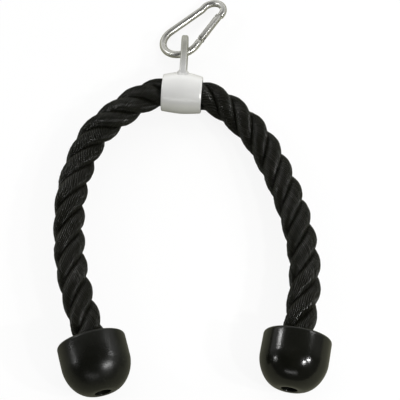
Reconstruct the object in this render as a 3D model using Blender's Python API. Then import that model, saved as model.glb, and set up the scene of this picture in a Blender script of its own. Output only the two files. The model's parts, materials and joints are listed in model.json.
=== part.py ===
"""Triceps rope attachment: a thick rope through a steel sleeve with an eye plate,
a snap hook in the eye and a rubber stopper on each rope end.

The piece lies on a flat surface, Z up, arch open towards -Y. Metres throughout.
"""

import math

import bmesh
import bpy
from mathutils import Euler, Matrix, Vector

# Clearances
SEAT_GAP = 0.0003          # between pieces that touch or are pressed together
CUT_OVERRUN = 0.002        # how far a cutter runs past the wall that it cuts
REST_GAP = 0.0001          # between the lying snap hook and the surface

# Rope
ROPE_DIAMETER = 0.030
ROPE_SKEW = math.radians(-3.4)        # the rope's lean in the sleeve, seen from above
ROPE_STEP = 0.020                     # between the points of a leg's tube
ROPE_CORE_STEP = 0.011                # the same near and in the sleeve
ROPE_END_STEP = 0.004                 # the last run of a tube, so its end is square
ROPE_SIDES_STEP = 4                   # curve bevel resolution

# The arch that the rope lies in: half of its width, and its depth towards -Y.
ARCH_HALF_WIDTH = 0.120
ARCH_DEPTH = 0.270
# Route of each leg past the sleeve: (x, -y, climb) as shares of the two and of the
# climb from the sleeve's axis to the stopper's.
LEFT_ROUTE_SHARES = (
    (-0.242, 0.001, 0.00),
    (-0.382, 0.031, 0.02),
    (-0.500, 0.072, 0.06),
    (-0.620, 0.120, 0.11),
    (-0.728, 0.172, 0.17),
    (-0.803, 0.236, 0.24),
    (-0.858, 0.309, 0.34),
    (-0.898, 0.381, 0.45),
    (-0.922, 0.456, 0.56),
    (-0.926, 0.530, 0.67),
    (-0.919, 0.602, 0.76),
    (-0.904, 0.674, 0.85),
    (-0.878, 0.744, 0.92),
    (-0.842, 0.814, 0.97),
    (-0.797, 0.882, 1.00),
)
RIGHT_ROUTE_SHARES = (
    (0.252, 0.021, 0.00),
    (0.374, 0.056, 0.02),
    (0.492, 0.106, 0.06),
    (0.600, 0.161, 0.11),
    (0.691, 0.224, 0.17),
    (0.766, 0.293, 0.24),
    (0.828, 0.361, 0.34),
    (0.882, 0.428, 0.44),
    (0.929, 0.500, 0.55),
    (0.965, 0.571, 0.66),
    (0.992, 0.642, 0.76),
    (1.006, 0.714, 0.85),
    (1.003, 0.783, 0.92),
    (0.984, 0.852, 0.97),
    (0.961, 0.907, 1.00),
)
LEFT_MOUTH_SHARES = (-0.709, 1.002)   # centre of the stopper's mouth
RIGHT_MOUTH_SHARES = (0.932, 0.988)
LEFT_LEAN = math.radians(15.0)        # a stopper's foot stands this far towards +X
RIGHT_LEAN = math.radians(-10.8)
STRAIGHT_LEAD = 0.012                 # straight rope before a stopper's mouth

# Where the rope stands in the sleeve's bore, as shares of its room to one side.
ROPE_BOW_SHARE = 0.35                 # towards the eye at mid length
ROPE_MOUTH_SHARE = 0.70               # away from the eye at the mouths

# Flexing point of each leg, measured along the rope from the sleeve's end.
FLEX_REACH = 0.048
FLEX_OUT = math.radians(40.0)         # each leg opens this far
FLEX_SLACK = 0.0008
FLEX_BALL_SHARE = 0.97                # ball radius over the rope's radius

# Sleeve
SLEEVE_LENGTH = 0.0415
SLEEVE_BORE_RADIUS = 0.0166
SLEEVE_END_RADIUS = 0.0186
SLEEVE_CROWN_RADIUS = 0.0206          # at mid length, away from the eye
SLEEVE_EYE_RISE = 0.0026              # the crown is this much higher under the eye
SLEEVE_RIM_ROUND = 0.0007
SLEEVE_YAW = math.radians(-2.75)
SLEEVE_SEGMENTS = 48
SLEEVE_RING_SHARES = (0.0, 0.2, 0.4, 0.6, 0.8, 0.93)   # of half the length
CROWN_POWER = 1.5

# Eye plate
PLATE_THICKNESS = 0.0070
EYE_RADIUS = 0.0170                   # outer radius of the plate's round end
EYE_HOLE_RADIUS = 0.0091
EYE_HOLE_CHAMFER = 0.0016             # at both mouths of the hole
EYE_REACH = 0.0508                    # sleeve axis to the hole's centre
PLATE_EDGE_ROUND = 0.0009
EYE_SEGMENTS = 36

# Weld beads
WELD_LEG = 0.0030
WELD_HALF_SWEEP = math.radians(44.0)
WELD_STATIONS = 18
WELD_END_SHARE = 0.35                 # size of the bead's ends over its middle
# Section of the bead, from its root: along the sleeve and up the plate, over its leg.
WELD_SECTION_SHARES = ((0, 0), (1, 0), (0.45, 0.30), (0.22, 0.55), (0, 1))

# Snap hook
WIRE_DIAMETER = 0.0075
WIDE_BEND_RADIUS = 0.0200             # of the wire's centreline
NARROW_BEND_RADIUS = 0.0110
BEND_SPACING = 0.0500
NOSE_STEP = 0.0014                    # the narrow bend stands this far outside the sides
JOGGLE_LENGTH = 0.0070
BEND_SEGMENTS = 26
NOSE_SEGMENTS = 20
LOOP_TURN = math.radians(34.0)        # long axis from the swing axis
SWING_YAW = math.radians(15.2)
SWING_PITCH = math.radians(10.2)
EYE_SEAT_DROP = 0.0043                # wire below the eye's centre
EYE_SEAT_BACK = 0.0001                # wire behind the eye's centre, towards the sleeve
HOOK_REST_ROLL_LIMITS = (math.radians(-40.0), math.radians(10.0))
ROLL_STEPS = 40

# Gate
GATE_DIAMETER = 0.0077
GATE_LENGTH = 0.0350                  # rivet to tip
RIVET_SETBACK = 0.0108                # wide bend's end to the rivet
TONGUE_THICKNESS = 0.0024             # of the hook's flattened ends
TONGUE_RADIUS = 0.0028
TONGUE_ROOT = 0.0015                  # how far a tongue runs into the wire
SHOULDER_SETBACK = 0.0044             # full wire ends this far before the rivet
SLOT_RUN = 0.0005
TIP_GAP = 0.0004
RIVET_RADIUS = 0.0012
RIVET_HEAD_RADIUS = 0.0020
RIVET_HEAD_HEIGHT = 0.0005
GATE_FLAT_SHARE = 0.96                # half the gate's height at its ears over its radius
LATCH_PIN_RADIUS = 0.0011
LATCH_PIN_SETBACK = 0.0032            # behind the gate's tip
LIP_LENGTH = 0.0013
LIP_RISE = 0.0004
NOSE_TONGUE_REACH = 0.0063            # into the gate from its tip
NOSE_TONGUE_WIDTH_SHARE = 0.92        # of the gate's radius, to each side
PIN_SEGMENTS = 16
PEG_SEGMENTS = 12

# Stoppers
STOPPER_RADIUS = 0.0330
STOPPER_HEIGHT = 0.0525
STOPPER_RIM_ROUND = 0.0034
DOME_START = 0.0230                   # from the mouth, where the side begins to close
DOME_FOOT_RADIUS = 0.0105             # flat ring at the bottom
DOME_POWER = 1.85
SOCKET_DEPTH = 0.0330
SOCKET_CLEARANCE = 0.0004
SOCKET_LEAD = 0.0010                  # chamfer at the socket's mouth
FOOT_HOLE_RADIUS = 0.00775
FOOT_HOLE_DEPTH = 0.0140
STOPPER_SEGMENTS = 48
RIM_STEPS = 4
DOME_STEPS = 11

# Screw and washer in a stopper
SCREW_RADIUS = 0.0030
SCREW_DEPTH = 0.0240                  # into the rope's end
SCREW_HEAD_RADIUS = 0.0050
SCREW_HEAD_HEIGHT = 0.0040
WASHER_RADIUS = 0.0070
WASHER_THICKNESS = 0.0015
HEX_SIDES = 6

# Sizes that follow
ROPE_RADIUS = ROPE_DIAMETER / 2
WIRE_RADIUS = WIRE_DIAMETER / 2
GATE_RADIUS = GATE_DIAMETER / 2
SLEEVE_AXIS_HEIGHT = SLEEVE_CROWN_RADIUS
STOPPER_AXIS_HEIGHT = STOPPER_RADIUS
ROPE_ROOM = SLEEVE_BORE_RADIUS - ROPE_RADIUS - SEAT_GAP
SOCKET_RADIUS = ROPE_RADIUS + SOCKET_CLEARANCE
SCREW_HOLE_RADIUS = SCREW_RADIUS + SEAT_GAP
SLOT_WIDTH = TONGUE_THICKNESS + 2 * SEAT_GAP
FLEX_BALL_RADIUS = ROPE_RADIUS * FLEX_BALL_SHARE
# Both faces at a flexing point stand back this far, so that their edges never meet.
FLEX_MITRE = ROPE_RADIUS * math.tan(FLEX_OUT / 2) + FLEX_SLACK
SMOOTH_ANGLE = math.radians(35.0)
EDGE_ANGLE = math.radians(60.0)
MERGE_SHARE = 0.001                   # of a radius, for points that fall together

MATERIALS = {
    "rope": ((0.018, 0.018, 0.017), 0.80, 0.0),
    "sleeve": ((0.62, 0.62, 0.60), 0.38, 1.0),
    "plate": ((0.52, 0.53, 0.50), 0.42, 1.0),
    "weld": ((0.46, 0.46, 0.44), 0.55, 1.0),
    "hook": ((0.70, 0.70, 0.68), 0.16, 1.0),
    "gate": ((0.66, 0.66, 0.64), 0.20, 1.0),
    "pin": ((0.50, 0.50, 0.49), 0.28, 1.0),
    "stopper": ((0.012, 0.012, 0.012), 0.30, 0.0),
    "screw": ((0.40, 0.40, 0.39), 0.35, 1.0),
    "washer": ((0.48, 0.48, 0.47), 0.35, 1.0),
}


def clear_scene():
    for obj in list(bpy.data.objects):
        bpy.data.objects.remove(obj, do_unlink=True)


def make_material(name, look):
    colour, roughness, metallic = MATERIALS[look]
    mat = bpy.data.materials.new(name)
    mat.use_nodes = True
    shader = mat.node_tree.nodes["Principled BSDF"]
    shader.inputs["Base Color"].default_value = (*colour, 1.0)
    shader.inputs["Roughness"].default_value = roughness
    shader.inputs["Metallic"].default_value = metallic
    mat.diffuse_color = (*colour, 1.0)
    return mat


def make_frame(name, parent=None, location=(0, 0, 0), turn=None):
    """An empty that carries the pieces of one body."""
    frame = bpy.data.objects.new(name, None)
    bpy.context.scene.collection.objects.link(frame)
    frame.parent = parent
    frame.location = location
    if turn is not None:
        frame.rotation_euler = turn.to_euler()
    return frame


def finish_mesh(name, bm):
    bmesh.ops.recalc_face_normals(bm, faces=bm.faces)
    mesh = bpy.data.meshes.new(name)
    bm.to_mesh(mesh)
    bm.free()
    mesh.shade_smooth()
    mesh.set_sharp_from_angle(angle=SMOOTH_ANGLE)
    return mesh


def add_piece(name, mesh, parent, look, location=(0, 0, 0), turn=(0, 0, 0)):
    obj = bpy.data.objects.new(name, mesh)
    bpy.context.scene.collection.objects.link(obj)
    obj.parent = parent
    obj.location = location
    obj.rotation_euler = turn
    mesh.materials.clear()
    mesh.materials.append(make_material(name + "_finish", look))
    return obj


def add_cutter(name, mesh, parent=None, location=(0, 0, 0), turn=(0, 0, 0)):
    obj = bpy.data.objects.new(name, mesh)
    bpy.context.scene.collection.objects.link(obj)
    obj.parent = parent
    obj.location = location
    obj.rotation_euler = turn
    obj.hide_render = True
    obj.display_type = "WIRE"
    return obj


def boolean(obj, other, operation="DIFFERENCE"):
    mod = obj.modifiers.new(operation.lower() + "_" + other.name, "BOOLEAN")
    mod.operation = operation
    mod.object = other
    return mod


# Shapes
def lathe(name, profile, segments):
    """Turn a closed profile of (radius, height) about Z."""
    bm = bmesh.new()
    verts = [bm.verts.new((r, 0, z)) for r, z in profile]
    edges = [bm.edges.new((a, b)) for a, b in zip(verts, verts[1:] + verts[:1])]
    bmesh.ops.spin(
        bm, geom=verts + edges, axis=(0, 0, 1), cent=(0, 0, 0),
        angle=2 * math.pi, steps=segments, use_merge=True,
    )
    return finish_mesh(name, bm)


def cylinder(name, radius, low, high, segments):
    """A solid cylinder along Z between two heights."""
    bm = bmesh.new()
    bmesh.ops.create_cone(
        bm, cap_ends=True, segments=segments,
        radius1=radius, radius2=radius, depth=high - low,
    )
    bmesh.ops.translate(bm, verts=bm.verts, vec=(0, 0, (low + high) / 2))
    return finish_mesh(name, bm)


def ball(name, radius, segments):
    bm = bmesh.new()
    bmesh.ops.create_uvsphere(
        bm, u_segments=segments, v_segments=segments // 2, radius=radius
    )
    return finish_mesh(name, bm)


def plate(name, outline, thickness):
    """Extrude an outline in XY to a plate centred on Z = 0."""
    bm = bmesh.new()
    face = bm.faces.new([bm.verts.new((x, y, -thickness / 2)) for x, y in outline])
    grown = bmesh.ops.extrude_face_region(bm, geom=[face])["geom"]
    tops = [v for v in grown if isinstance(v, bmesh.types.BMVert)]
    bmesh.ops.translate(bm, verts=tops, vec=(0, 0, thickness))
    return finish_mesh(name, bm)


def arc(centre, radius, start, end, steps):
    return [
        (
            centre[0] + radius * math.cos(start + (end - start) * k / steps),
            centre[1] + radius * math.sin(start + (end - start) * k / steps),
        )
        for k in range(steps + 1)
    ]


def tube_mesh(name, points, radius, resolution):
    """A round tube with flat ends along points, made by a bevelled curve."""
    curve = bpy.data.curves.new(name + "_curve", "CURVE")
    curve.dimensions = "3D"
    curve.bevel_depth = radius
    curve.bevel_resolution = resolution
    curve.use_fill_caps = True
    spline = curve.splines.new("POLY")
    spline.points.add(len(points) - 1)
    for knot, point in zip(spline.points, points):
        knot.co = (*point, 1.0)
    holder = bpy.data.objects.new(name + "_path", curve)
    bpy.context.scene.collection.objects.link(holder)
    graph = bpy.context.evaluated_depsgraph_get()
    drawn = bpy.data.meshes.new_from_object(holder.evaluated_get(graph))
    bpy.data.objects.remove(holder, do_unlink=True)
    bm = bmesh.new()
    bm.from_mesh(drawn)
    bpy.data.meshes.remove(drawn)
    bmesh.ops.remove_doubles(bm, verts=bm.verts, dist=radius * MERGE_SHARE)
    return finish_mesh(name, bm)


# Rope's route
def leg_points(route, mouth, lean):
    """Points of one leg from the sleeve outwards to the rope's end in the stopper."""
    climb = STOPPER_AXIS_HEIGHT - SLEEVE_AXIS_HEIGHT
    points = [
        Vector((x * ARCH_HALF_WIDTH, -y * ARCH_DEPTH, SLEEVE_AXIS_HEIGHT + up * climb))
        for x, y, up in route
    ]
    centre = stopper_mouth(mouth)
    axis = stopper_axis(lean)
    depth = SOCKET_DEPTH - SEAT_GAP
    points.append(centre - axis * STRAIGHT_LEAD)
    for share in (0, 1 / 3, 2 / 3, 1):
        points.append(centre + axis * depth * share)
    return points


def stopper_mouth(mouth):
    return Vector((mouth[0] * ARCH_HALF_WIDTH, -mouth[1] * ARCH_DEPTH, STOPPER_AXIS_HEIGHT))


def stopper_axis(lean):
    """Along the stopper from its mouth to its foot."""
    return Vector((math.sin(lean), -math.cos(lean), 0))


def sleeve_points():
    """The rope's run through the sleeve from -X to +X, bowed within the bore's room."""
    along = Vector((math.cos(ROPE_SKEW), math.sin(ROPE_SKEW), 0))
    across = Vector((-along.y, along.x, 0))
    middle = Vector((0, 0, SLEEVE_AXIS_HEIGHT))
    points = []
    for share in (-1, -0.5, 0, 0.5, 1):
        bow = ROPE_ROOM * (ROPE_BOW_SHARE - (ROPE_BOW_SHARE + ROPE_MOUTH_SHARE) * share * share)
        points.append(middle + along * SLEEVE_LENGTH * share / 2 + across * bow)
    return points


class Route:
    """A smooth curve through the rope's points, read by length."""

    FINE = 12

    def __init__(self, points):
        ends = [2 * points[0] - points[1], *points, 2 * points[-1] - points[-2]]
        self.points = []
        self.length_at = [0.0]
        for a, b, c, d in zip(ends, ends[1:], ends[2:], ends[3:]):
            for k in range(self.FINE):
                self.points.append(self.between(a, b, c, d, k / self.FINE))
        self.points.append(points[-1].copy())
        for p, q in zip(self.points, self.points[1:]):
            self.length_at.append(self.length_at[-1] + (q - p).length)
        self.length = self.length_at[-1]

    @staticmethod
    def between(a, b, c, d, t):
        """Centripetal Catmull-Rom from b to c."""
        t0 = 0.0
        t1 = t0 + math.sqrt((b - a).length)
        t2 = t1 + math.sqrt((c - b).length)
        t3 = t2 + math.sqrt((d - c).length)
        u = t1 + (t2 - t1) * t
        p = a * ((t1 - u) / (t1 - t0)) + b * ((u - t0) / (t1 - t0))
        q = b * ((t2 - u) / (t2 - t1)) + c * ((u - t1) / (t2 - t1))
        r = c * ((t3 - u) / (t3 - t2)) + d * ((u - t2) / (t3 - t2))
        v = p * ((t2 - u) / (t2 - t0)) + q * ((u - t0) / (t2 - t0))
        w = q * ((t3 - u) / (t3 - t1)) + r * ((u - t1) / (t3 - t1))
        return v * ((t2 - u) / (t2 - t1)) + w * ((u - t1) / (t2 - t1))

    def at(self, length):
        low, high = 0, len(self.points) - 2
        while low < high:
            mid = (low + high + 1) // 2
            if self.length_at[mid] <= length:
                low = mid
            else:
                high = mid - 1
        run = self.length_at[low + 1] - self.length_at[low]
        share = (length - self.length_at[low]) / run
        return self.points[low].lerp(self.points[low + 1], share)

    def nearest(self, target):
        best = min(range(len(self.points)), key=lambda k: (self.points[k] - target).length)
        return self.length_at[best]

    def stretch(self, start, end, step):
        """Points from start to end, close together at both ends."""
        inner = end - start - 2 * ROPE_END_STEP
        runs = max(1, math.ceil(inner / step))
        lengths = [start]
        for k in range(runs + 1):
            lengths.append(start + ROPE_END_STEP + inner * k / runs)
        lengths.append(end)
        return [self.at(length) for length in lengths]


# Sleeve
def sleeve_radius(share, angle, grow=0.0):
    """Outer radius at a share of half the length and an angle from the eye side."""
    crown = 1 - abs(share) ** CROWN_POWER
    lift = max(0.0, math.cos(angle)) ** 2 * SLEEVE_EYE_RISE
    return SLEEVE_END_RADIUS + crown * (SLEEVE_CROWN_RADIUS - SLEEVE_END_RADIUS + lift) + grow


def ring(bm, x, radius_of):
    """A ring of points about X, counted from the +Y side."""
    verts = []
    for k in range(SLEEVE_SEGMENTS):
        angle = 2 * math.pi * k / SLEEVE_SEGMENTS
        r = radius_of(angle)
        verts.append(bm.verts.new((x, r * math.cos(angle), r * math.sin(angle))))
    return verts


def bridge(bm, first, second):
    count = len(first)
    for k in range(count):
        n = (k + 1) % count
        bm.faces.new((first[k], first[n], second[n], second[k]))


def sleeve_stations():
    """Shares of half the length from one rim to the other."""
    inner = [s for s in SLEEVE_RING_SHARES if s > 0]
    return [-s for s in reversed(inner)] + [0.0] + inner


def sleeve_mesh():
    bm = bmesh.new()
    half = SLEEVE_LENGTH / 2
    turn = half - SLEEVE_RIM_ROUND
    rim = SLEEVE_END_RADIUS - SLEEVE_RIM_ROUND
    bore = SLEEVE_BORE_RADIUS
    outer = [ring(bm, -half, lambda a: rim), ring(bm, -turn, lambda a: SLEEVE_END_RADIUS)]
    for share in sleeve_stations():
        outer.append(ring(bm, share * turn, lambda a, s=share: sleeve_radius(s, a)))
    outer.append(ring(bm, turn, lambda a: SLEEVE_END_RADIUS))
    outer.append(ring(bm, half, lambda a: rim))
    lip = bore + SLEEVE_RIM_ROUND
    inner = [
        ring(bm, half, lambda a: lip),
        ring(bm, turn, lambda a: bore),
        ring(bm, -turn, lambda a: bore),
        ring(bm, -half, lambda a: lip),
    ]
    loops = outer + inner
    for first, second in zip(loops, loops[1:] + loops[:1]):
        bridge(bm, first, second)
    return finish_mesh("sleeve", bm)


def sleeve_envelope_mesh():
    """The sleeve's outer form, solid and a seat gap larger, to cut the plate's foot."""
    bm = bmesh.new()
    half = SLEEVE_LENGTH / 2
    rings = [ring(bm, share * half, lambda a, s=share: sleeve_radius(s, a, SEAT_GAP))
             for share in sleeve_stations()]
    for first, second in zip(rings, rings[1:]):
        bridge(bm, first, second)
    bm.faces.new(rings[0])
    bm.faces.new(rings[-1])
    return finish_mesh("sleeve_envelope", bm)


def build_sleeve(body):
    sleeve = add_piece("collar_sleeve", sleeve_mesh(), body, "sleeve")
    build_plate(body)
    build_weld(body, "eye_weld_left", -1)
    build_weld(body, "eye_weld_right", 1)
    return sleeve


# Eye plate
def eye_drill_profile():
    """Half section of the hole through the plate, wider at both mouths."""
    half = PLATE_THICKNESS / 2
    deep = half - EYE_HOLE_CHAMFER
    far = half + CUT_OVERRUN
    wide = EYE_HOLE_RADIUS + EYE_HOLE_CHAMFER + CUT_OVERRUN
    narrow = EYE_HOLE_RADIUS
    return [(0, -far), (wide, -far), (narrow, -deep), (narrow, deep), (wide, far), (0, far)]


def build_plate(body):
    """Plate in the YZ plane: drawn in XY and stood up."""
    foot = SLEEVE_BORE_RADIUS * math.cos(WELD_HALF_SWEEP)
    outline = [(-EYE_RADIUS, foot), (EYE_RADIUS, foot)]
    outline += arc((0, EYE_REACH), EYE_RADIUS, 0, math.pi, EYE_SEGMENTS // 2)
    upright = (0, -math.pi / 2, 0)
    obj = add_piece("eye_plate", plate("eye_plate", outline, PLATE_THICKNESS), body, "plate",
                    turn=upright)
    drill = add_cutter("eye_drill", solid_lathe("eye_drill", eye_drill_profile(), EYE_SEGMENTS),
                       body, (0, EYE_REACH, 0), upright)
    boolean(obj, drill)
    rounding = obj.modifiers.new("edge_round", "BEVEL")
    rounding.width = PLATE_EDGE_ROUND
    rounding.segments = 2
    rounding.limit_method = "ANGLE"
    rounding.angle_limit = EDGE_ANGLE
    boolean(obj, add_cutter("plate_foot", sleeve_envelope_mesh(), body))
    return obj


def build_weld(body, name, side):
    """A fillet bead along the plate's foot, on one of its faces."""
    bm = bmesh.new()
    half = SLEEVE_LENGTH / 2
    inner = PLATE_THICKNESS / 2 + SEAT_GAP
    loops = []
    for k in range(WELD_STATIONS + 1):
        turn = WELD_HALF_SWEEP * (2 * k / WELD_STATIONS - 1)
        leg = WELD_LEG * (WELD_END_SHARE + (1 - WELD_END_SHARE) * math.cos(
            math.pi / 2 * (2 * k / WELD_STATIONS - 1)))
        loop = []
        for out, up in WELD_SECTION_SHARES:
            x = inner + out * leg
            r = sleeve_radius(x / half, turn, SEAT_GAP) + up * leg
            loop.append(bm.verts.new((side * x, r * math.cos(turn), r * math.sin(turn))))
        loops.append(loop)
    for first, second in zip(loops, loops[1:]):
        bridge(bm, first, second)
    bm.faces.new(loops[0])
    bm.faces.new(loops[-1])
    return add_piece(name, finish_mesh(name, bm), body, "weld")


# Snap hook
def loop_side_angle():
    """Angle between the long axis and the radius to where a side leaves a bend."""
    return math.acos((WIDE_BEND_RADIUS - NARROW_BEND_RADIUS) / BEND_SPACING)


def side_line(sign):
    """Start, direction and length of a straight side, from the wide bend's end."""
    angle = loop_side_angle()
    radial = Vector((math.cos(angle), sign * math.sin(angle), 0))
    start = radial * WIDE_BEND_RADIUS
    end = Vector((BEND_SPACING, 0, 0)) + radial * NARROW_BEND_RADIUS
    return start, (end - start).normalized(), (end - start).length


def gate_frame():
    """Rivet's place, the gate's direction and the inward direction."""
    start, along, _ = side_line(-1)
    inward = Vector((-along.y, along.x, 0))
    return start + along * RIVET_SETBACK, along, inward


def hook_points():
    """Centreline of the wire from the rivet's shoulder round to the nose."""
    rivet, along, inward = gate_frame()
    angle = loop_side_angle()
    points = [rivet - along * SHOULDER_SETBACK]
    wide = arc((0, 0), WIDE_BEND_RADIUS, -angle, angle - 2 * math.pi, BEND_SEGMENTS)
    points += [Vector((x, y, 0)) for x, y in wide]
    start, spine, run = side_line(1)
    out = Vector((math.cos(angle), math.sin(angle), 0))
    steps = NOSE_SEGMENTS // 4
    for k in range(steps):
        share = k / steps
        rise = share * share * (3 - 2 * share)
        points.append(start + spine * (run - JOGGLE_LENGTH * (1 - share)) + out * NOSE_STEP * rise)
    narrow = arc((BEND_SPACING, 0), NARROW_BEND_RADIUS + NOSE_STEP, angle, -angle, NOSE_SEGMENTS)
    points += [Vector((x, y, 0)) for x, y in narrow]
    points.append(rivet + along * (GATE_LENGTH + TIP_GAP) - inward * NOSE_STEP)
    return points


def hinge_tongue_mesh():
    """Flat round-ended tongue about the rivet; X runs along the gate."""
    back = -SHOULDER_SETBACK - TONGUE_ROOT
    outline = [(back, TONGUE_RADIUS), (back, -TONGUE_RADIUS)]
    outline += arc((0, 0), TONGUE_RADIUS, -math.pi / 2, math.pi / 2, PIN_SEGMENTS // 2)
    return plate("hinge_tongue", outline, TONGUE_THICKNESS)


def nose_tongue_mesh():
    """Flat tongue with a notch for the latch pin; Y is inward."""
    tip = GATE_LENGTH
    pin = tip - LATCH_PIN_SETBACK
    room = LATCH_PIN_RADIUS + SEAT_GAP
    wide = GATE_RADIUS * NOSE_TONGUE_WIDTH_SHARE
    root = tip + TIP_GAP + TONGUE_ROOT
    end = tip - NOSE_TONGUE_REACH
    outline = [
        (root, -wide - NOSE_STEP / 2),
        (root, wide - NOSE_STEP),
        (pin + room, wide - NOSE_STEP),
        (pin + room, -room),
        (pin - room, -room),
        (pin - room, LIP_RISE),
        (pin - room - LIP_LENGTH, LIP_RISE),
        (end, -room),
        (end, -wide + LIP_LENGTH),
        (end + LIP_LENGTH, -wide),
    ]
    return plate("nose_tongue", outline, TONGUE_THICKNESS)


def build_hook(swing):
    """Body of the snap hook; its loop lies in the XY plane of the swing frame."""
    rivet, along, _ = gate_frame()
    place = (0, WIDE_BEND_RADIUS, 0)
    turn = (0, 0, LOOP_TURN)
    loop = make_frame("hook_loop", swing, place, Euler(turn).to_matrix())
    wire = tube_mesh("hook_wire", hook_points(), WIRE_RADIUS, ROPE_SIDES_STEP)
    body = add_piece("carabiner_body", wire, loop, "hook")
    gate_turn = (0, 0, math.atan2(along.y, along.x))
    for mesh in (hinge_tongue_mesh(), nose_tongue_mesh()):
        boolean(body, add_cutter(mesh.name, mesh, loop, rivet, gate_turn), "UNION")
    drill = cylinder("rivet_drill", RIVET_RADIUS + SEAT_GAP, -TONGUE_THICKNESS, TONGUE_THICKNESS,
                     PIN_SEGMENTS)
    boolean(body, add_cutter("rivet_drill", drill, loop, rivet, gate_turn))
    return loop, rivet, gate_turn


def gate_blank_outline():
    """Side view of the gate, round at the rivet end."""
    ear = GATE_RADIUS * GATE_FLAT_SHARE
    tip = GATE_LENGTH + CUT_OVERRUN
    outline = [(tip, -ear), (tip, ear)]
    return outline + arc((0, 0), ear, math.pi / 2, 3 * math.pi / 2, PIN_SEGMENTS // 2)


def build_gate(loop, rivet, gate_turn):
    hinge = make_frame("gate_hinge", loop, rivet, Euler(gate_turn).to_matrix())
    along_x = (0, math.pi / 2, 0)
    rod = cylinder("gate_rod", GATE_RADIUS, -GATE_DIAMETER, GATE_LENGTH, PIN_SEGMENTS)
    rod.transform(Euler(along_x).to_matrix().to_4x4())
    gate = add_piece("carabiner_gate", rod, hinge, "gate")
    blank = plate("gate_blank", gate_blank_outline(), GATE_DIAMETER + CUT_OVERRUN)
    boolean(gate, add_cutter("gate_blank", blank, hinge), "INTERSECT")
    rear = TONGUE_RADIUS + SLOT_RUN
    front = GATE_LENGTH - NOSE_TONGUE_REACH - SLOT_RUN
    for name, low, high in (
        ("rear_slot", -GATE_DIAMETER, rear),
        ("front_slot", front, GATE_LENGTH + CUT_OVERRUN),
    ):
        wide = GATE_DIAMETER
        outline = [(low, -wide), (high, -wide), (high, wide), (low, wide)]
        boolean(gate, add_cutter(name, plate(name, outline, SLOT_WIDTH), hinge))
    for name, radius, x in (
        ("gate_rivet_drill", RIVET_RADIUS, 0),
        ("gate_pin_drill", LATCH_PIN_RADIUS, GATE_LENGTH - LATCH_PIN_SETBACK),
    ):
        bore = cylinder(name, radius + SEAT_GAP, -GATE_DIAMETER, GATE_DIAMETER, PEG_SEGMENTS)
        boolean(gate, add_cutter(name, bore, hinge, (x, 0, 0)))
    build_pins(loop, rivet, gate_turn, hinge)
    return hinge


def build_pins(loop, rivet, gate_turn, hinge):
    """The rivet stays in the hook's tongue; the latch pin rides in the gate."""
    shank = GATE_RADIUS + SEAT_GAP
    head = shank + RIVET_HEAD_HEIGHT
    profile = [(0, -head), (RIVET_HEAD_RADIUS, -head), (RIVET_HEAD_RADIUS, -shank),
               (RIVET_RADIUS, -shank), (RIVET_RADIUS, shank), (RIVET_HEAD_RADIUS, shank),
               (RIVET_HEAD_RADIUS, head), (0, head)]
    add_piece("gate_rivet", solid_lathe("gate_rivet", profile, PEG_SEGMENTS), loop, "pin",
              rivet, gate_turn)
    peg = cylinder("latch_pin", LATCH_PIN_RADIUS, -GATE_RADIUS, GATE_RADIUS, PEG_SEGMENTS)
    add_piece("gate_latch_pin", peg, hinge, "pin",
              (GATE_LENGTH - LATCH_PIN_SETBACK, 0, 0))


def solid_lathe(name, profile, segments):
    """Turn an open profile whose ends lie on the Z axis."""
    bm = bmesh.new()
    verts = [bm.verts.new((r, 0, z)) for r, z in profile]
    edges = [bm.edges.new(pair) for pair in zip(verts, verts[1:])]
    bmesh.ops.spin(
        bm, geom=verts + edges, axis=(0, 0, 1), cent=(0, 0, 0),
        angle=2 * math.pi, steps=segments, use_merge=True,
    )
    bmesh.ops.remove_doubles(bm, verts=bm.verts, dist=profile[1][0] * MERGE_SHARE)
    return finish_mesh(name, bm)


# Stoppers
def stopper_profile():
    """Closed section, mouth at height 0 and foot at -STOPPER_HEIGHT."""
    corner = (STOPPER_RADIUS - STOPPER_RIM_ROUND, -STOPPER_RIM_ROUND)
    profile = [(SOCKET_RADIUS + SOCKET_LEAD, 0)]
    profile += arc(corner, STOPPER_RIM_ROUND, math.pi / 2, 0, RIM_STEPS)
    drop = STOPPER_HEIGHT - DOME_START
    for k in range(DOME_STEPS + 1):
        turn = math.pi / 2 * k / DOME_STEPS
        share = math.sin(turn)
        left = max(0.0, 1 - share ** DOME_POWER) ** (1 / DOME_POWER)
        radius = DOME_FOOT_RADIUS + (STOPPER_RADIUS - DOME_FOOT_RADIUS) * left
        profile.append((radius, -DOME_START - drop * share))
    web = -STOPPER_HEIGHT + FOOT_HOLE_DEPTH
    profile += [
        (FOOT_HOLE_RADIUS, -STOPPER_HEIGHT),
        (FOOT_HOLE_RADIUS, web),
        (SCREW_HOLE_RADIUS, web),
        (SCREW_HOLE_RADIUS, -SOCKET_DEPTH),
        (SOCKET_RADIUS, -SOCKET_DEPTH),
        (SOCKET_RADIUS, -SOCKET_LEAD),
    ]
    return profile


def screw_profile():
    """Shank up into the rope, tapered to a point; the head is a separate outline."""
    seat = -STOPPER_HEIGHT + FOOT_HOLE_DEPTH - SEAT_GAP - WASHER_THICKNESS
    tip = -SOCKET_DEPTH + SCREW_DEPTH
    return [(0, seat - SCREW_HEAD_HEIGHT / 2), (SCREW_RADIUS, seat - SCREW_HEAD_HEIGHT / 2),
            (SCREW_RADIUS, tip - SCREW_RADIUS), (0, tip)]


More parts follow.
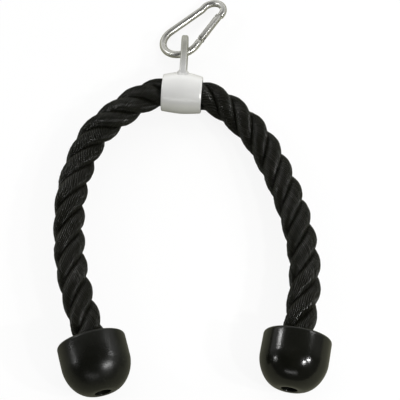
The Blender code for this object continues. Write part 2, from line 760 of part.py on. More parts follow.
def build_stopper(side, leg, pivot, mouth, lean):
    """Stopper with its washer and screw, placed by the frame of its leg."""
    axis = stopper_axis(lean)
    turn = Vector((0, 0, -1)).rotation_difference(axis).to_euler()
    cup = add_piece("stopper_" + side,
                    lathe("stopper_" + side, stopper_profile(), STOPPER_SEGMENTS),
                    leg, "stopper", stopper_mouth(mouth) - pivot, turn)
    floor = -STOPPER_HEIGHT + FOOT_HOLE_DEPTH - SEAT_GAP
    under = floor - WASHER_THICKNESS
    ring_profile = [(SCREW_HOLE_RADIUS, under), (WASHER_RADIUS, under),
                    (WASHER_RADIUS, floor), (SCREW_HOLE_RADIUS, floor)]
    add_piece("washer_" + side, lathe("washer_" + side, ring_profile, EYE_SEGMENTS), cup, "washer")
    screw = add_piece("screw_" + side,
                      solid_lathe("screw_" + side, screw_profile(), PIN_SEGMENTS), cup, "screw")
    seat = floor - WASHER_THICKNESS - SEAT_GAP
    head = cylinder("screw_head_" + side, SCREW_HEAD_RADIUS, seat - SCREW_HEAD_HEIGHT, seat,
                    HEX_SIDES)
    boolean(screw, add_cutter("screw_head_" + side, head, cup), "UNION")
    return cup


# Rope
def rope_route():
    left = leg_points(LEFT_ROUTE_SHARES, LEFT_MOUTH_SHARES, LEFT_LEAN)
    right = leg_points(RIGHT_ROUTE_SHARES, RIGHT_MOUTH_SHARES, RIGHT_LEAN)
    return Route(list(reversed(left)) + sleeve_points() + right)


def flex_lengths(route):
    """Where the two legs flex, as lengths along the route from the left end."""
    ends = sleeve_points()
    return route.nearest(ends[0]) - FLEX_REACH, route.nearest(ends[-1]) + FLEX_REACH


def build_rope(root, legs, route, flex):
    low, high = flex
    run = route.stretch(low + FLEX_MITRE, high - FLEX_MITRE, ROPE_CORE_STEP)
    core = tube_mesh("rope_core", run, ROPE_RADIUS, ROPE_SIDES_STEP)
    middle = add_piece("rope_core", core, root, "rope")
    for name, length in (("flex_ball_left", low), ("flex_ball_right", high)):
        knuckle = ball(name, FLEX_BALL_RADIUS, PIN_SEGMENTS)
        boolean(middle, add_cutter(name, knuckle, root, route.at(length)), "UNION")
    spans = {"left": (0, low - FLEX_MITRE), "right": (high + FLEX_MITRE, route.length)}
    for side, (start, end) in spans.items():
        leg, pivot, cup = legs[side]
        points = [p - pivot for p in route.stretch(start, end, ROPE_STEP)]
        mesh = tube_mesh("rope_" + side, points, ROPE_RADIUS, ROPE_SIDES_STEP)
        rope = add_piece("rope_" + side, mesh, leg, "rope")
        socket = ball("flex_socket_" + side, FLEX_BALL_RADIUS + SEAT_GAP, PIN_SEGMENTS)
        boolean(rope, add_cutter("flex_socket_" + side, socket, leg))
        deep = -SOCKET_DEPTH + SCREW_DEPTH + SEAT_GAP
        bore = cylinder("screw_bore_" + side, SCREW_HOLE_RADIUS, -SOCKET_DEPTH - CUT_OVERRUN,
                        deep, PIN_SEGMENTS)
        boolean(rope, add_cutter("screw_bore_" + side, bore, cup))


# Assembly
def swing_turn(roll):
    yaw = Matrix.Rotation(SWING_YAW, 3, "Z")
    pitch = Matrix.Rotation(-SWING_PITCH, 3, "Y")
    return yaw @ pitch @ Matrix.Rotation(roll, 3, "X")


def swing_place():
    """Where the wire passes through the eye, in the lying assembly."""
    turn = Matrix.Rotation(SLEEVE_YAW, 3, "Z")
    reach = turn @ Vector((0, EYE_REACH - EYE_SEAT_BACK, 0))
    return reach + Vector((0, 0, SLEEVE_AXIS_HEIGHT - EYE_SEAT_DROP))


def lowest_of_hook(roll):
    turn = swing_turn(roll)
    spin = Matrix.Rotation(LOOP_TURN, 3, "Z")
    centre = Vector((0, WIDE_BEND_RADIUS, 0))
    lows = [(turn @ (centre + spin @ p)).z for p in hook_points()]
    return swing_place().z + min(lows) - WIRE_RADIUS


def resting_roll():
    """The roll about the swing axis at which the hook lies on the surface."""
    low, high = HOOK_REST_ROLL_LIMITS
    for _ in range(ROLL_STEPS):
        mid = (low + high) / 2
        if lowest_of_hook(mid) < REST_GAP:
            low = mid
        else:
            high = mid
    return (low + high) / 2


def centre_on_footprint(root):
    """Put the middle of the rigid pieces' footprint over the origin."""
    bpy.context.view_layer.update()
    graph = bpy.context.evaluated_depsgraph_get()
    corners = []
    for obj in bpy.data.objects:
        if obj.type != "MESH" or obj.hide_render or obj.name.startswith("rope_"):
            continue
        shape = obj.evaluated_get(graph)
        corners += [shape.matrix_world @ v.co for v in shape.data.vertices]
    for axis in (0, 1):
        values = [c[axis] for c in corners]
        root.location[axis] = -(min(values) + max(values)) / 2
    root.location[2] = -min(c.z for c in corners)
    bpy.context.view_layer.update()


def main():
    clear_scene()
    root = make_frame("assembly")
    collar = make_frame("collar_frame", root, (0, 0, SLEEVE_AXIS_HEIGHT),
                        Matrix.Rotation(SLEEVE_YAW, 3, "Z"))
    build_sleeve(collar)
    swing = make_frame("swing_frame", root, swing_place(), swing_turn(resting_roll()))
    loop, rivet, gate_turn = build_hook(swing)
    build_gate(loop, rivet, gate_turn)
    route = rope_route()
    flex = flex_lengths(route)
    legs = {}
    for side, length, mouth, lean in (
        ("left", flex[0], LEFT_MOUTH_SHARES, LEFT_LEAN),
        ("right", flex[1], RIGHT_MOUTH_SHARES, RIGHT_LEAN),
    ):
        pivot = route.at(length)
        leg = make_frame("leg_" + side, root, pivot)
        legs[side] = (leg, pivot, build_stopper(side, leg, pivot, mouth, lean))
    build_rope(root, legs, route, flex)
    centre_on_footprint(root)
    for name in ("collar_frame", "swing_frame", "gate_hinge", "leg_left", "leg_right"):
        frame = bpy.data.objects[name].matrix_world
        print(name, [round(v, 6) for v in frame.translation],
              "x", [round(v, 6) for v in frame.col[0][:3]],
              "z", [round(v, 6) for v in frame.col[2][:3]])
    print("rope length", round(route.length, 4), "flex at", [round(v, 4) for v in flex])


if __name__ == "__main__":
    main()
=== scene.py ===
"""Dresses the frame of a rope attachment for a cable machine: laid rope, plated sleeve
with its eye, snap hook and rubber stoppers, on a pale studio floor."""

import json
from math import acos, asin, atan2, cos, hypot, pi, radians, sin, sqrt

import bmesh
import bpy
from bpy.props import FloatProperty, FloatVectorProperty, IntProperty, PointerProperty
from mathutils import Matrix, Vector, noise


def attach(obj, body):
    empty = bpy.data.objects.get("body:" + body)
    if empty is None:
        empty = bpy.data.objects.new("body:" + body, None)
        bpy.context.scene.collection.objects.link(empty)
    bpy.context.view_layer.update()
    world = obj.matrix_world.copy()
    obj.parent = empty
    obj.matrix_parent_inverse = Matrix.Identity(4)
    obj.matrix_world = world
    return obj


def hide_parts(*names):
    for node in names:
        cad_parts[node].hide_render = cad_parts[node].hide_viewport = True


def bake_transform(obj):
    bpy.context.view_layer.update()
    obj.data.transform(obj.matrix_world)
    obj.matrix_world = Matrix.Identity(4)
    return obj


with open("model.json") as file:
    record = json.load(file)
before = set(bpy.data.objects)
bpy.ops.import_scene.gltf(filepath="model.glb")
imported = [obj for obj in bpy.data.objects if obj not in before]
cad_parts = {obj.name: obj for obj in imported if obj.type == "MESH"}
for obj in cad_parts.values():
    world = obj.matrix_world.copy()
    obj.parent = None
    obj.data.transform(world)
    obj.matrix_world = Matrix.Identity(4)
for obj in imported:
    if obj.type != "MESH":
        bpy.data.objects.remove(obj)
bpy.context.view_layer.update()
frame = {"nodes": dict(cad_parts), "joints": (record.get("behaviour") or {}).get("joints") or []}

bl_info = {
    "name": "Rope Attachment",
    "version": (1, 0, 0),
    "blender": (4, 5, 0),
    "location": "View3D > Sidebar > Rope Attachment",
    "description": "Builds a rope attachment with its sleeve, snap hook and stoppers",
    "category": "Add Mesh",
}

JOINTS = {joint["name"]: joint for joint in frame["joints"]}

CORE_BODY = "sleeve_and_core"
HOOK_BODY = "snap_hook"
GATE_BODY = "gate"

UP = Vector((0, 0, 1))
QUARTER = pi / 2
FULL_TURN = 2 * pi
# Points nearer to each other than this become one.
MERGE = 1e-6

SLEEVE_CENTRE = Vector((-0.013701, 0.101198, 0.0206))
SLEEVE_YAW = radians(-2.75)
# The sleeve sits a little askew on the rope, and its eye plate doesn't.
SLEEVE_SKEW = radians(-1.8)
SLEEVE_SHIFT = Vector((0, -0.0005, 0.0003))
# From the sleeve's axis to the middle of the eye.
EYE_REACH = 0.0508

# The rope's centreline from the end in the left stopper to the end in the right one.
ROPE_POINTS = (
    (-0.0903, -0.2009, 0.033), (-0.0931, -0.1904, 0.033), (-0.096, -0.1799, 0.033),
    (-0.0988, -0.1693, 0.033), (-0.1019, -0.1578, 0.033), (-0.1093, -0.1369, 0.033),
    (-0.1147, -0.1186, 0.0326), (-0.1191, -0.0997, 0.032), (-0.1222, -0.0808, 0.0311),
    (-0.124, -0.0613, 0.03), (-0.1248, -0.0419, 0.0289), (-0.1243, -0.0219, 0.0275),
    (-0.1215, -0.0017, 0.0262), (-0.1167, 0.0178, 0.0248), (-0.1101, 0.0375, 0.0236),
    (-0.1011, 0.0548, 0.0227), (-0.0881, 0.0688, 0.022), (-0.0737, 0.0818, 0.0213),
    (-0.0595, 0.0928, 0.0208), (-0.0427, 0.1009, 0.0206), (-0.0345, 0.1015, 0.0206),
    (-0.0241, 0.1019, 0.0206), (-0.0137, 0.1017, 0.0206), (-0.0033, 0.1007, 0.0206),
    (0.007, 0.0991, 0.0206), (0.0165, 0.0955, 0.0206), (0.0312, 0.0861, 0.0208),
    (0.0453, 0.0726, 0.0213), (0.0583, 0.0577, 0.022), (0.0692, 0.0407, 0.0227),
    (0.0782, 0.0221, 0.0236), (0.0857, 0.0037, 0.0248), (0.0921, -0.0144, 0.0261),
    (0.0978, -0.0338, 0.0274), (0.1021, -0.053, 0.0288), (0.1053, -0.0721, 0.03),
    (0.107, -0.0916, 0.0311), (0.1067, -0.1102, 0.032), (0.1044, -0.1288, 0.0326),
    (0.1016, -0.1437, 0.033), (0.1004, -0.1538, 0.033), (0.0981, -0.1656, 0.033),
    (0.0961, -0.1763, 0.033), (0.0941, -0.187, 0.033), (0.092, -0.1977, 0.033),
)
SLEEVE_MIDDLE = Vector((-0.0137, 0.1017, 0.0206))

# Length along the rope, and the degrees that its strands have turned by there.
STRAND_TURNS = (
    (0.0, -182.5), (0.0455, 30.0), (0.1234, 393.8), (0.2057, 761.6), (0.2898, 1133.4),
    (0.3307, 1316.5), (0.4136, 1673.7), (0.4954, 2024.3), (0.5488, 2261.4),
    (0.6022, 2497.6), (0.6704, 2792.7), (0.73, 3052.0),
)
STRANDS = 3
YARN_MAP = "yarn"
# Steps round one yarn, how round its ridge is, and the ridge's usual height as a share.
YARN_STEPS = 5
YARN_ROUNDNESS = 0.7
RIDGE_MIDDLE = 0.7
ROW_SPACING = 0.00125

# Of the snap hook: the loop's turn in its plane, the rivet's distance from where the
# side begins, and the gate's length from the rivet to its tip.
LOOP_TURN = radians(34)
RIVET_SETBACK = 0.0108
GATE_LENGTH = 0.035

# Mouth centre of each stopper and the direction from there to its foot.
STOPPERS = {
    "left": (Vector((-0.09878, -0.16934, 0.033)), Vector((0.258819, -0.965926, 0))),
    "right": (Vector((0.09814, -0.16556, 0.033)), Vector((-0.187381, -0.982287, 0))),
}

# Name, degrees from +Y round to +X, degrees up, distance, size, watts and shape.
LAMPS = (
    ("front_strip", 189, 28, 1.5, (0.9, 0.14), 1.2, "RECTANGLE"),
    ("left_window", -101, 22, 1.5, (0.14, 0.2), 1.6, "RECTANGLE"),
    ("left_strip", -64, 31, 1.5, (0.1, 0.3), 3.2, "RECTANGLE"),
    ("right_window", 74, 36, 1.5, (0.28, 0.22), 3, "RECTANGLE"),
    ("right_front_lamp", 134, 46, 1.4, (0.07, 0.07), 4.6, "DISK"),
    ("right_low_lamp", 117, 38, 1.4, (0.07, 0.07), 5.2, "DISK"),
)
LAMP_TARGET = Vector((0, 0, 0.03))
CAMERA_TARGET = Vector((0.0051, -0.0229, 0.028))


def link_object(name, data):
    """Put new data into the scene as an object."""
    made = bpy.data.objects.new(name, data)
    bpy.context.scene.collection.objects.link(made)
    return made


# Settings that a user would change

def metres(name, description, default, **limits):
    """A length in metres."""
    return FloatProperty(name=name, description=description, default=default,
                         subtype="DISTANCE", unit="LENGTH", **limits)


def tint(name, description, default):
    """A colour in linear red, green and blue."""
    return FloatVectorProperty(name=name, description=description, default=default,
                               subtype="COLOR", size=3, min=0, max=1)


class RopeSettings(bpy.types.PropertyGroup):
    """Sizes and colours of the laid rope."""
    strand_depth: metres(
        "Strand Depth", "Half thickness of a strand towards the rope's middle", 0.0072,
        min=0.002, max=0.02)
    strand_width: metres(
        "Strand Width", "Half width of a strand across the rope", 0.008, min=0.002, max=0.02)
    strand_offset: metres(
        "Strand Offset", "From the rope's middle to a strand's middle", 0.0083,
        min=0.002, max=0.02)
    yarns: IntProperty(
        name="Yarns", description="Yarns that show round one strand", default=18, min=8, max=40)
    yarn_ridge: metres(
        "Yarn Ridge", "How far a yarn stands out of its strand", 0.00076, min=0, max=0.002)
    yarn_turns: FloatProperty(
        name="Yarn Turns", description="Turns of the yarns in one metre, against the strands",
        default=45, min=0, max=100)
    colour: tint("Rope Colour", "Colour of the yarn", (0.0054, 0.0055, 0.0036))
    # This light fibre colour is real wear, and also painted highlight strokes along the yarn
    # crests.
    fleck_and_highlight: tint(
        "Fleck Colour", "Colour of worn fibres on the crests", (0.085, 0.082, 0.072))


class SleeveSettings(bpy.types.PropertyGroup):
    """Sizes and colours of the sleeve and its eye plate."""
    length: metres("Length", "Length of the sleeve along the rope", 0.0415)
    end_radius: metres("End Radius", "Outer radius at the ends", 0.0191)
    crown_radius: metres("Crown Radius", "Outer radius at mid length", 0.0209)
    eye_rise: metres("Eye Rise", "Further height of the crown under the eye", 0.0026)
    bore_radius: metres("Bore Radius", "Radius of the hole for the rope", 0.0166)
    plate_thickness: metres("Plate Thickness", "Thickness of the eye plate", 0.007)
    eye_radius: metres("Eye Radius", "Outer radius of the eye", 0.017)
    hole_radius: metres("Hole Radius", "Radius of the hole in the eye", 0.0091)
    colour: tint("Sleeve Colour", "Colour of the plated steel", (0.8, 0.8, 0.78))


class HookSettings(bpy.types.PropertyGroup):
    """Sizes and colours of the snap hook."""
    wire_radius: metres("Wire Radius", "Radius of the hook's wire", 0.00375)
    wide_radius: metres("Wide Bend", "Radius of the wide bend's centreline", 0.02)
    narrow_radius: metres("Narrow Bend", "Radius of the narrow bend's centreline", 0.011)
    spacing: metres("Bend Spacing", "Between the centres of the two bends", 0.05)
    nose_step: metres(
        "Nose Step", "How far the narrow bend stands outside the sides", 0.0014)
    colour: tint("Hook Colour", "Colour of the bright plating", (0.77, 0.765, 0.72))


class StopperSettings(bpy.types.PropertyGroup):
    """Sizes and colours of the rubber stoppers."""
    radius: metres("Radius", "Outer radius of a stopper", 0.033)
    height: metres("Height", "From the mouth to the foot", 0.0525)
    dome_start: metres(
        "Dome Start", "From the mouth to where the side begins to close", 0.023)
    foot_radius: metres("Foot Radius", "Radius of the flat ring at the foot", 0.0105)
    colour: tint(
        "Rubber Colour", "Colour of the moulded rubber", (0.0043, 0.0045, 0.0031))


class StageSettings(bpy.types.PropertyGroup):
    """Camera and light."""
    camera_distance: metres(
        "Camera Distance", "From the camera to the point it looks at", 1.2)
    elevation: FloatProperty(
        name="Elevation", description="Angle of the camera above the floor",
        default=radians(67), subtype="ANGLE", unit="ROTATION")
    lens: FloatProperty(
        name="Lens", description="Focal length on a 36 mm sensor", default=108,
        subtype="DISTANCE_CAMERA")
    sky: FloatProperty(
        name="Sky", description="Strength of the bright wall behind", default=0.7, min=0, max=3)
    fill: FloatProperty(
        name="Fill", description="Strength of the soft light that falls on dull surfaces",
        default=1.62, min=0, max=4)
    lamps: FloatProperty(
        name="Lamps", description="Share of the lamps' full power", default=1, min=0, max=3)


# Materials

def shade(colour, share):
    """A colour made darker or lighter."""
    return tuple(part * share for part in colour)


class Nodes:
    """Adds shader nodes to a tree and links them."""

    def __init__(self, tree):
        self.tree = tree

    def node(self, kind, inputs=None, **settings):
        """A new node with its inputs fed and its settings made."""
        made = self.tree.nodes.new(kind)
        for key, value in settings.items():
            setattr(made, key, value)
        for key, value in (inputs or {}).items():
            self.feed(made.inputs[key], value)
        return made

    def feed(self, socket, value):
        """Link a socket to a node or another socket, or set its value."""
        if isinstance(value, bpy.types.NodeSocket):
            self.tree.links.new(value, socket)
        elif isinstance(value, bpy.types.Node):
            self.tree.links.new(value.outputs[0], socket)
        else:
            socket.default_value = value

    def math(self, operation, *values):
        return self.node("ShaderNodeMath", dict(enumerate(values)), operation=operation)

    def times(self, first, second):
        return self.math("MULTIPLY", first, second)

    def add(self, first, second):
        return self.math("ADD", first, second)

    def spread(self, value, low, high, new_low=0.0, new_high=1.0, **settings):
        """Carry the range from low to high over to a new one, held at its ends."""
        return self.node("ShaderNodeMapRange", {
            "Value": value, "From Min": low, "From Max": high,
            "To Min": new_low, "To Max": new_high}, **settings)


class Finish(Nodes):
    """Builds one procedural material around a Principled shader."""

    def __init__(self, name, colour, roughness, metallic=0.0):
        self.material = bpy.data.materials.new(name)
        self.material.use_nodes = True
        self.material.diffuse_color = (*colour, 1)
        super().__init__(self.material.node_tree)
        self.shader = self.tree.nodes["Principled BSDF"]
        self.set("Base Color", (*colour, 1))
        self.set("Roughness", roughness)
        self.set("Metallic", metallic)

    def set(self, name, value):
        """Give one of the shader's sockets a value or a link."""
        self.feed(self.shader.inputs[name], value)

    def place(self, scale=(1, 1, 1), turn=(0, 0, 0)):
        """Where a point lies on the object, stretched and turned."""
        at = self.node("ShaderNodeTexCoord")
        return self.node("ShaderNodeMapping", {
            "Vector": at.outputs["Object"], "Scale": scale, "Rotation": turn})

    def noise(self, vector, scale, detail, rough=0.5):
        return self.node("ShaderNodeTexNoise", {
            "Vector": vector, "Scale": scale, "Detail": detail, "Roughness": rough}
            ).outputs["Fac"]

    def blend(self, share, first, second):
        """Mix two colours, each a tuple or a socket."""
        made = self.node("ShaderNodeMix", {"Factor": share}, data_type="RGBA")
        for key, value in (("A", first), ("B", second)):
            socket = next(s for s in made.inputs if s.name == key and s.type == "RGBA")
            self.feed(socket, (*value, 1) if isinstance(value, tuple) else value)
        return next(s for s in made.outputs if s.type == "RGBA")

    def bump(self, height, distance, strength):
        self.set("Normal", self.node("ShaderNodeBump", {
            "Height": height, "Distance": distance, "Strength": strength}))


def rope_finish(settings):
    """Twisted black yarn: filaments along each yarn, painted shade between the yarns with
    lighter crests, and worn fibres on the crests that are also painted highlight strokes.
    """
    base = tuple(settings.colour)
    finish = Finish("laid_rope", base, 0.4)
    finish.set("Anisotropic", 0.7)
    finish.set("Anisotropic Rotation", 0.25)
    finish.set("Tangent", finish.node(
        "ShaderNodeTangent", direction_type="UV_MAP", uv_map=YARN_MAP))
    uv = finish.node("ShaderNodeUVMap", uv_map=YARN_MAP)
    along, across, _ = finish.node("ShaderNodeSeparateXYZ", {"Vector": uv}).outputs
    yarn = finish.times(across, float(settings.yarns))
    ridge = finish.math("ABSOLUTE", finish.math("SINE", finish.times(yarn, pi)))
    crest = finish.math("POWER", ridge, YARN_ROUNDNESS)
    top = finish.math("POWER", ridge, 3.0)
    own = finish.node("ShaderNodeTexWhiteNoise", {"W": finish.math("FLOOR", yarn)},
                      noise_dimensions="1D").outputs["Value"]

    def streaks(across_scale, along_scale, seed, detail):
        """Noise drawn out along the yarns, and different in each."""
        at = finish.node("ShaderNodeCombineXYZ", {
            "X": finish.times(yarn, across_scale), "Y": finish.times(along, along_scale),
            "Z": finish.times(own, seed)})
        return finish.noise(at, 1.0, detail, 0.6)

    filament = streaks(7.0, 70.0, 20.0, 3.0)
    worn = finish.spread(streaks(1.2, 90.0, 9.0, 2.0), 0.52, 0.72)
    patch = finish.spread(finish.noise(finish.place(), 42.0, 2.0), 0.4, 0.66, 0.15, 1.0)
    # Worn fibres on the crests, painted light: partly real wear, partly painted highlight
    # strokes standing in for glints on the yarns.
    fleck_and_highlight = finish.times(finish.times(worn, top), patch)
    # Painted shade: the gaps between the yarns are painted far darker than the base colour, and
    # the crests lighter.
    tone = finish.blend(top, shade(base, 0.1), shade(base, 2.1))
    tone = finish.blend(finish.times(own, 0.4), tone, shade(base, 2.2))
    tone = finish.blend(finish.times(fleck_and_highlight, 0.62), tone, tuple(settings.fleck_and_highlight))
    finish.set("Base Color", tone)
    finish.set("Specular IOR Level", finish.times(
        finish.spread(ridge, 0.6, 1.0), finish.spread(patch, 0.15, 1.0, 0.55, 1.0)))
    finish.set("Roughness", finish.add(finish.spread(ridge, 0.35, 0.95, 0.5, 0.16),
                                       finish.spread(filament, 0.3, 0.7, 0.0, 0.14)))
    finish.bump(finish.add(finish.times(crest, 0.7), finish.times(filament, 0.6)), 0.0005, 0.8)
    return finish.material


def plated_finish(name, colour, roughness, grain, wear, metallic=1.0, painted_reflection=None):
    """Satin plating with a fine grain and faint stains, and where asked painted shade that
    darkens it along Y, leaving a painted reflection of the sleeve nearer to it.
    """
    finish = Finish(name, colour, roughness, metallic)
    at = finish.place()
    fine = finish.noise(at, 2600.0, 2.0, 0.6)
    broad = finish.noise(at, 55.0, 4.0, 0.55)
    stain = finish.times(finish.spread(broad, 0.42, 0.72), wear)
    tone = finish.blend(stain, colour, shade(colour, 0.8))
    # Painted reflection: darker further along Y from the sleeve, lighter near it as if lit by
    # the sleeve.
    if painted_reflection:
        start, end, dull = painted_reflection
        apart = finish.node("ShaderNodeSeparateXYZ", {"Vector": at})
        tone = finish.blend(finish.spread(apart.outputs["Y"], start, end), tone, dull)
    finish.set("Base Color", tone)
    rough = finish.spread(broad, 0.3, 0.7, roughness - 0.02, roughness + 0.03)
    finish.set("Roughness", finish.add(rough, finish.spread(fine, 0.3, 0.7, -0.03, 0.03)))
    finish.bump(finish.add(fine, finish.times(broad, 0.5)), grain, 0.35)
    return finish.material


def bright_finish(name, colour, roughness):
    """Bright plating over drawn wire: fine scratches, smudges and slight waviness."""
    finish = Finish(name, colour, roughness, metallic=0.9)
    at = finish.place()
    wave = finish.noise(at, 160.0, 2.0)
    scratch = finish.noise(finish.place((1, 1, 9), (0.3, 0.2, 0.9)), 700.0, 3.0, 0.7)
    smudge = finish.noise(at, 70.0, 4.0, 0.6)
    finish.set("Base Color", finish.blend(
        finish.spread(smudge, 0.45, 0.75, 0.0, 0.6), colour, shade(colour, 0.62)))
    rough = finish.spread(smudge, 0.35, 0.7, roughness - 0.03, roughness + 0.12)
    finish.set("Roughness", finish.add(rough, finish.spread(scratch, 0.4, 0.7, 0.0, 0.07)))
    finish.bump(finish.add(wave, finish.times(scratch, 0.12)), 0.0004, 0.22)
    return finish.material


def rubber_finish(settings, name, smooth, rough, shine):
    """Glossy moulded rubber with faint bloom and dust."""
    colour = tuple(settings.colour)
    dust_colour = (0.055, 0.053, 0.046)
    finish = Finish(name, colour, smooth)
    finish.set("Specular IOR Level", shine)
    at = finish.place()
    bloom = finish.noise(at, 34.0, 4.0, 0.6)
    speck = finish.noise(at, 420.0, 2.0)
    pitting = finish.noise(at, 900.0, 2.0)
    dust = finish.times(finish.spread(speck, 0.62, 0.74), finish.spread(bloom, 0.5, 0.7))
    tone = finish.blend(
        finish.spread(bloom, 0.4, 0.75, 0.0, 0.7), colour, shade(colour, 1.9))
    finish.set("Base Color", finish.blend(finish.times(dust, 0.4), tone, dust_colour))
    finish.set("Roughness", finish.spread(bloom, 0.3, 0.72, smooth, rough))
    finish.bump(finish.add(finish.times(pitting, 0.35), bloom), 0.0006, 0.3)
    return finish.material


def make_finish(key):
    scene = bpy.context.scene
    sleeve = tuple(scene.rope_sleeve.colour)
    hook = tuple(scene.rope_hook.colour)
    rubber = scene.rope_stopper
    plate = shade(sleeve, 0.92)
    # From and to where along Y the plate is painted darker away from the sleeve, and its colour
    # there: painted shade, so the part near the sleeve reads as a painted reflection of it.
    plate_painted_reflection = (0.124, 0.146, (0.44, 0.44, 0.39))
    makers = {
        "rope": lambda: rope_finish(scene.rope_rope),
        "sleeve": lambda: plated_finish(
            "satin_plating", sleeve, 0.32, grain=0.00006, wear=0.14, metallic=0.22),
        "plate": lambda: plated_finish(
            "plate_plating", plate, 0.42, grain=0.00016, wear=0.5, metallic=0.5,
            painted_reflection=plate_painted_reflection),
        "weld": lambda: plated_finish(
            "weld_plating", plate, 0.46, grain=0.0003, wear=0.4, metallic=0.45),
        "hook": lambda: bright_finish("bright_wire", hook, 0.27),
        "gate": lambda: bright_finish("bright_gate", shade(hook, 0.94), 0.28),
        "pin": lambda: bright_finish("rivet_steel", shade(hook, 0.7), 0.3),
        "washer": lambda: plated_finish(
            "washer_zinc", (0.52, 0.52, 0.5), 0.38, grain=0.0001, wear=0.5),
        "screw": lambda: plated_finish(
            "screw_zinc", (0.42, 0.42, 0.4), 0.36, grain=0.0001, wear=0.5),
        "rubber_left": lambda: rubber_finish(
            rubber, "moulded_rubber_left", smooth=0.22, rough=0.38, shine=0.36),
        "rubber_right": lambda: rubber_finish(
            rubber, "moulded_rubber_right", smooth=0.11, rough=0.22, shine=0.46),
    }
    return makers[key]()


FINISHES = {}


def finish_for(key):
    """Each finish once, made when the first piece asks for it."""
    if key not in FINISHES:
        FINISHES[key] = make_finish(key)
    return FINISHES[key]


# Shared modelling steps

def add_piece(name, bm, slot, finish=None, angle=35.0):
    """Turn a finished bmesh into an object whose place is in its mesh."""
    bmesh.ops.remove_doubles(bm, verts=bm.verts, dist=MERGE)
    bmesh.ops.recalc_face_normals(bm, faces=bm.faces)
    mesh = bpy.data.meshes.new(name)
    bm.to_mesh(mesh)
    bm.free()
    mesh.shade_smooth()
    mesh.set_sharp_from_angle(angle=radians(angle))
    mesh.materials.append(finish_for(finish or slot))
    piece = link_object(name, mesh)
    return piece


def soften(bm, edges, width):
    """Round edges over with a narrow bevel."""
    bmesh.ops.bevel(bm, geom=edges, offset=width, segments=2, profile=0.5,
                    affect="EDGES", clamp_overlap=True, material=-1)


def copy_of(node, name, slot, body, bevel):
    """A merged copy of a small piece of the frame, with softened edges."""
    flat, hard = radians(1), radians(40)
    bm = bmesh.new()
    bm.from_mesh(frame["nodes"][node].data)
    bm.transform(frame["nodes"][node].matrix_world)
    bmesh.ops.remove_doubles(bm, verts=bm.verts, dist=MERGE)
    bmesh.ops.dissolve_limit(bm, angle_limit=flat, verts=bm.verts, edges=bm.edges)
    soften(bm, [e for e in bm.edges if len(e.link_faces) == 2
                and e.calc_face_angle(0) > hard], bevel)
    piece = add_piece(name, bm, slot)
    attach(piece, body)
    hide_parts(node)


def arc(centre, radius, start, end, steps):
    """Points on part of a circle, both ends included."""
    return [(centre[0] + radius * cos(start + (end - start) * k / steps),
             centre[1] + radius * sin(start + (end - start) * k / steps))
            for k in range(steps + 1)]


def lathe(bm, profile, steps):
    """Turn a closed profile of (radius, height) once round Z."""
    verts = [bm.verts.new((r, 0, z)) for r, z in profile]
    edges = [bm.edges.new(pair) for pair in zip(verts, verts[1:] + verts[:1])]
    bmesh.ops.spin(bm, geom=verts + edges, axis=(0, 0, 1), cent=(0, 0, 0),
                   angle=FULL_TURN, steps=steps, use_merge=True)


def skin(bm, along, around, place, uvs=False):
    """A grid laid over a tube; place(u, v) gives each point."""
    grid = bmesh.ops.create_grid(bm, x_segments=along, y_segments=around, size=0.5,
                                 calc_uvs=uvs)
    for vert in grid["verts"]:
        vert.co = place(vert.co.x + 0.5, vert.co.y + 0.5)


def close_ends(bm):
    """Join a tube's seam and cap its ends."""
    bmesh.ops.remove_doubles(bm, verts=bm.verts, dist=MERGE)
    rims = [e for e in bm.edges if len(e.link_faces) == 1]
    bmesh.ops.holes_fill(bm, edges=rims, sides=0)


class Line:
    """A smooth curve through points, read by its length."""

    def __init__(self, points, fine=16):
        points = [Vector(p) for p in points]
        ends = [2 * points[0] - points[1], *points, 2 * points[-1] - points[-2]]
        self.points = [self.between(a, b, c, d, k / fine)
                       for a, b, c, d in zip(ends, ends[1:], ends[2:], ends[3:])
                       for k in range(fine)]
        self.points.append(points[-1])
        self.reach = [0.0]
        for p, q in zip(self.points, self.points[1:]):
            self.reach.append(self.reach[-1] + (q - p).length)
        self.length = self.reach[-1]

    @staticmethod
    def between(a, b, c, d, t):
        """Centripetal Catmull-Rom point between b and c."""
        t1 = sqrt((b - a).length)
        t2 = t1 + sqrt((c - b).length)
        t3 = t2 + sqrt((d - c).length)
        u = t1 + (t2 - t1) * t
        p = a.lerp(b, u / t1)
        q = b.lerp(c, (u - t1) / (t2 - t1))
        r = c.lerp(d, (u - t2) / (t3 - t2))
        return p.lerp(q, u / t2).lerp(q.lerp(r, (u - t1) / (t3 - t1)), (u - t1) / (t2 - t1))

    def at(self, length):
        low, high = 0, len(self.points) - 2
        while low < high:
            mid = (low + high + 1) // 2
            if self.reach[mid] <= length:
                low = mid
            else:
                high = mid - 1
        share = (length - self.reach[low]) / (self.reach[low + 1] - self.reach[low])
        return self.points[low].lerp(self.points[low + 1], share)

    def tangent(self, length, step=0.003):
        low, high = max(0.0, length - step), min(self.length, length + step)
        return (self.at(high) - self.at(low)).normalized()

    def nearest(self, target):
        """Length at the point that lies nearest to a place."""
        best = min(range(len(self.points)), key=lambda k: (self.points[k] - target).length)
        return self.reach[best]


ROPE = Line(ROPE_POINTS)


# Rope

def rope_frame(length):
    """Place, direction, upward and sideways axes of the rope at a length."""
    direction = ROPE.tangent(length)
    up = (UP - direction * UP.dot(direction)).normalized()
    return ROPE.at(length), direction, up, direction.cross(up)


def strand_turn(length):
    """Angle that the strands have turned by at a length, in radians."""
    for (low, first), (high, second) in zip(STRAND_TURNS, STRAND_TURNS[1:]):
        if length < high:
            break
    share = (length - low) / (high - low)
    return radians(first + (second - first) * share)


